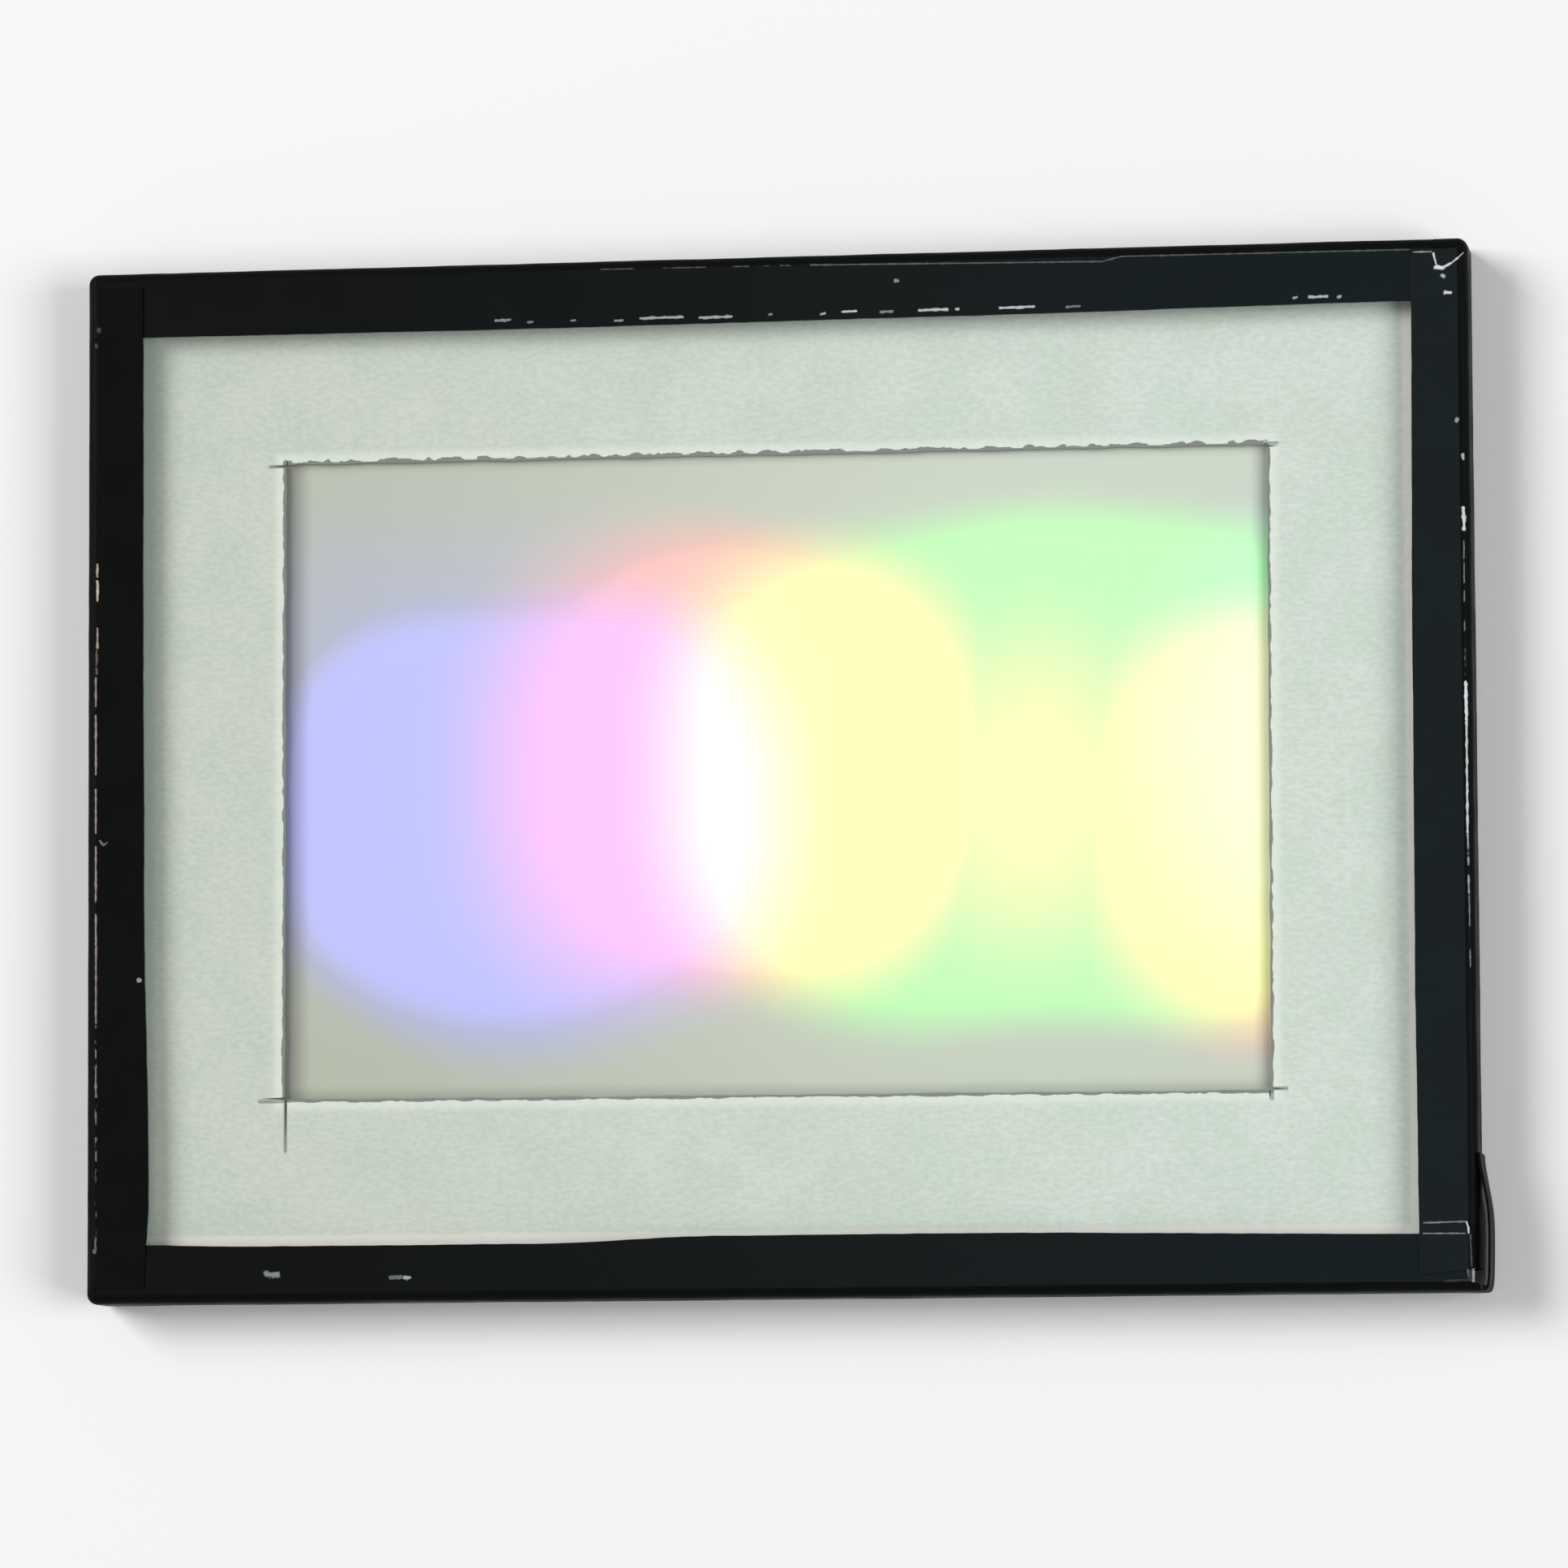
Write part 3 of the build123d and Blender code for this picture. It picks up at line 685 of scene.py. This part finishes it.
# Each dent beside the bend: its place and its half length.
DENTS, DENT_WIDE, DENT_DEPTH = ((31.04, 12.1, 0.75), (31.04, 2.76, 0.6)), 0.35, 0.06
# The lower end's slanted trim: the stretch that it eases in over, its slant, and the place it turns about.
TRIM_FROM, TRIM_TO, TRIM_SKEW, TRIM_PIVOT, TRIM_WIDE = 21.5, 23.05, 0.25, 31.9, 2.6


def right_bands(point):
    """The bands at a station of the right strip."""
    if point.y > FACE_Y - CORNER - 0.01:
        return FOLD, FOLD, FOLD, 0.0
    front = RIGHT_FRONT + at_place(RIGHT_WANDER, point.y) + cut_stray(4.0, point.y * CUT_RATE)
    return front, RIGHT_BACK, FOLD, 0.0


def beside(point, start, end):
    """How far a point lies to the left of a line from start to end."""
    along = (end - start).normalized()
    return along.x * (point.y - start.y) - along.y * (point.x - start.x)


def right_relief(co, outward):
    """Ripples, laps over the long strips' ends, the tucked crease, two dents, and a lower end cut askew."""
    move = ripple(co, outward) + over_ends(co, *RIGHT_OVER)
    if co.z > 2.5:
        spot = co.xy
        inside = min(beside(spot, CREASE_LEFT, CREASE_FOOT), beside(spot, CREASE_FOOT, CREASE_RIGHT))
        if spot.y > CREASE_FROM:
            move.z -= CREASE_DEPTH * rise(inside, 0.0, CREASE_SOFT)
        for x, y, half in DENTS:
            off = ((spot.x - x) / DENT_WIDE) ** 2 + ((spot.y - y) / half) ** 2
            move.z -= DENT_DEPTH * math.exp(-off)
        move.y -= TRIM_SKEW * rise(-spot.y, TRIM_FROM, TRIM_TO) * (TRIM_PIVOT - spot.x) / TRIM_WIDE
    return move


right_stations = lay((
    ("run", (FACE_X, -22.8), (FACE_X, -20.0), 0.09, right_bands),
    ("run", (FACE_X, -19.9), (FACE_X, 19.9), 0.22, right_bands),
    ("run", (FACE_X, 20.0), (FACE_X, FACE_Y - CORNER - 0.04), 0.06, right_bands),
    ("run", (FACE_X, FACE_Y - CORNER - 0.005), (FACE_X, FACE_Y - CORNER), 0.01, right_bands),
    ("turn", (FACE_X - CORNER, FACE_Y - CORNER, CORNER), (0, 90), 9, right_bands),
    ("run", (FACE_X - CORNER, FACE_Y), (TOP_SEAM, FACE_Y), 0.1, right_bands),
))
# Painted highlights on the V crease and beside it, along the bend, and on the laps over the bottom strip.
right_marks = [
    ((29.5, 23.17), (30.3, 23.17), 0.05, 0.4, False), ((30.4, 23.08), (30.52, 22.6), 0.06, 0.85, False),
    ((30.55, 22.46), (30.8, 22.42), 0.15, 1.0, False), ((30.85, 22.46), (31.2, 22.62), 0.07, 0.9, False),
    ((31.2, 22.62), (31.52, 22.86), 0.06, 0.8, False), ((31.52, 22.86), (31.74, 23.1), 0.05, 0.6, False),
    ((30.82, 22.06), (30.86, 22.02), 0.12, 0.6, False), ((30.93, 21.3), (31.16, 21.28), 0.12, 0.9, False),
    ((31.37, 15.5), (31.37, 15.45), 0.12, 0.4, False), ((31.62, 13.9), (31.64, 13.7), 0.1, 0.6, False),
    ((31.62, 11.5), (31.64, 10.5), 0.11, 0.95, False), ((31.62, 10.3), (31.6, 3.9), 0.05, 0.25, True),
    ((31.62, 3.6), (31.64, 1.9), 0.1, 1.0, False), ((31.64, 1.8), (31.63, -3.2), 0.07, 0.85, False),
    ((31.64, -3.3), (31.66, -5.9), 0.06, 0.5, True), ((31.67, -6.0), (31.69, -9.8), 0.05, 0.25, True),
    ((29.45, -20.74), (31.35, -20.7), 0.05, 0.25, False),
    ((29.45, -21.22), (31.3, -21.24), 0.05, 0.25, False),
    ((31.38, -20.74), (31.46, -20.95), 0.07, 0.8, False),
    ((31.46, -20.95), (31.48, -21.22), 0.07, 0.85, False),
    ((31.55, -21.3), (31.6, -22.7), 0.05, 0.1, True),
]
right_tape = binding_tape("right", right_marks, "#dfe3e4", 0.1)
stands_for("right_strip", fold_strip(right_stations, right_relief), "right_tape", "tape", *right_tape)

# Studio: a pale paper floor that the plate lies on, square soft lamps at both sides, and a white surround
# that the camera and the shiny pieces see. The surround lights the rest only faintly.
FLOOR_HALF, ROOM_LIGHT, LAMP_SIZE = 2.0, 0.17, 0.42
# The camera was fitted to the bound plate's outline, so its place and turn stay as numbers in metres.
LENS, SENSOR, CAMERA_PLACE = 204.97, 36.0, (0.060425, -0.036697, 0.403465)
CAMERA_RIGHT = (0.98892, -0.00493, -0.14836)
CAMERA_UP = (0.01809, 0.996, 0.08746)
CAMERA_BACK = (0.14733, -0.08917, 0.98506)

floor_shape = bmesh.new()
bmesh.ops.create_grid(floor_shape, x_segments=1, y_segments=1, size=FLOOR_HALF)
floor_mesh = bpy.data.meshes.new("floor")
floor_shape.to_mesh(floor_mesh)
floor_shape.free()
floor = bpy.data.objects.new("floor", floor_mesh)
bpy.context.scene.collection.objects.link(floor)
# Uncoated white paper is matt, so that it keeps the plate's soft shadow and mirrors nothing.
paper, tree, _ = new_material("white_backdrop_paper")
lit = add_node(tree, "BsdfDiffuse", {"Color": linear("#fcfcfc")})
add_node(tree, "OutputMaterial", {"Surface": lit})
floor_mesh.materials.append(paper)


def soft_lamp(name, place, power, tint):
    """A square softbox that faces the plate."""
    light = bpy.data.lights.new(name, "AREA")
    light.size = LAMP_SIZE
    light.energy = power
    light.color = linear(tint)[:3]
    lamp = bpy.data.objects.new(name, light)
    lamp.location = place
    lamp.rotation_euler = (-Vector(place)).to_track_quat("-Z", "Y").to_euler()
    bpy.context.scene.collection.objects.link(lamp)


soft_lamp("right_softbox", (0.6, -0.1, 0.55), 3.5, "#ffffff")
soft_lamp("left_softbox", (-0.55, 0.26, 0.58), 5.0, "#fffefc")

world = bpy.data.worlds.new("white_surround")
bpy.context.scene.world = world
world.use_nodes = True
tree = world.node_tree
rays = add_node(tree, "LightPath").node.outputs
shown = rays["Is Camera Ray"]
for kind in ("Is Glossy Ray", "Is Transmission Ray"):
    shown = add_node(tree, "Math", (shown, rays[kind]), operation="MAXIMUM")
level = add_node(tree, "MapRange", {"Value": shown, "To Min": ROOM_LIGHT})
surround = tree.nodes["Background"]
surround.inputs["Color"].default_value = linear("#ffffff")
tree.links.new(level, surround.inputs["Strength"])

view = bpy.data.cameras.new("camera")
view.lens = LENS
view.sensor_width = SENSOR
camera = bpy.data.objects.new("camera", view)
stand = Matrix.Translation(CAMERA_PLACE)
camera.matrix_world = stand @ Matrix((CAMERA_RIGHT, CAMERA_UP, CAMERA_BACK)).transposed().to_4x4()
bpy.context.scene.collection.objects.link(camera)
bpy.context.scene.camera = camera
bpy.context.scene.view_settings.view_transform = "Standard"
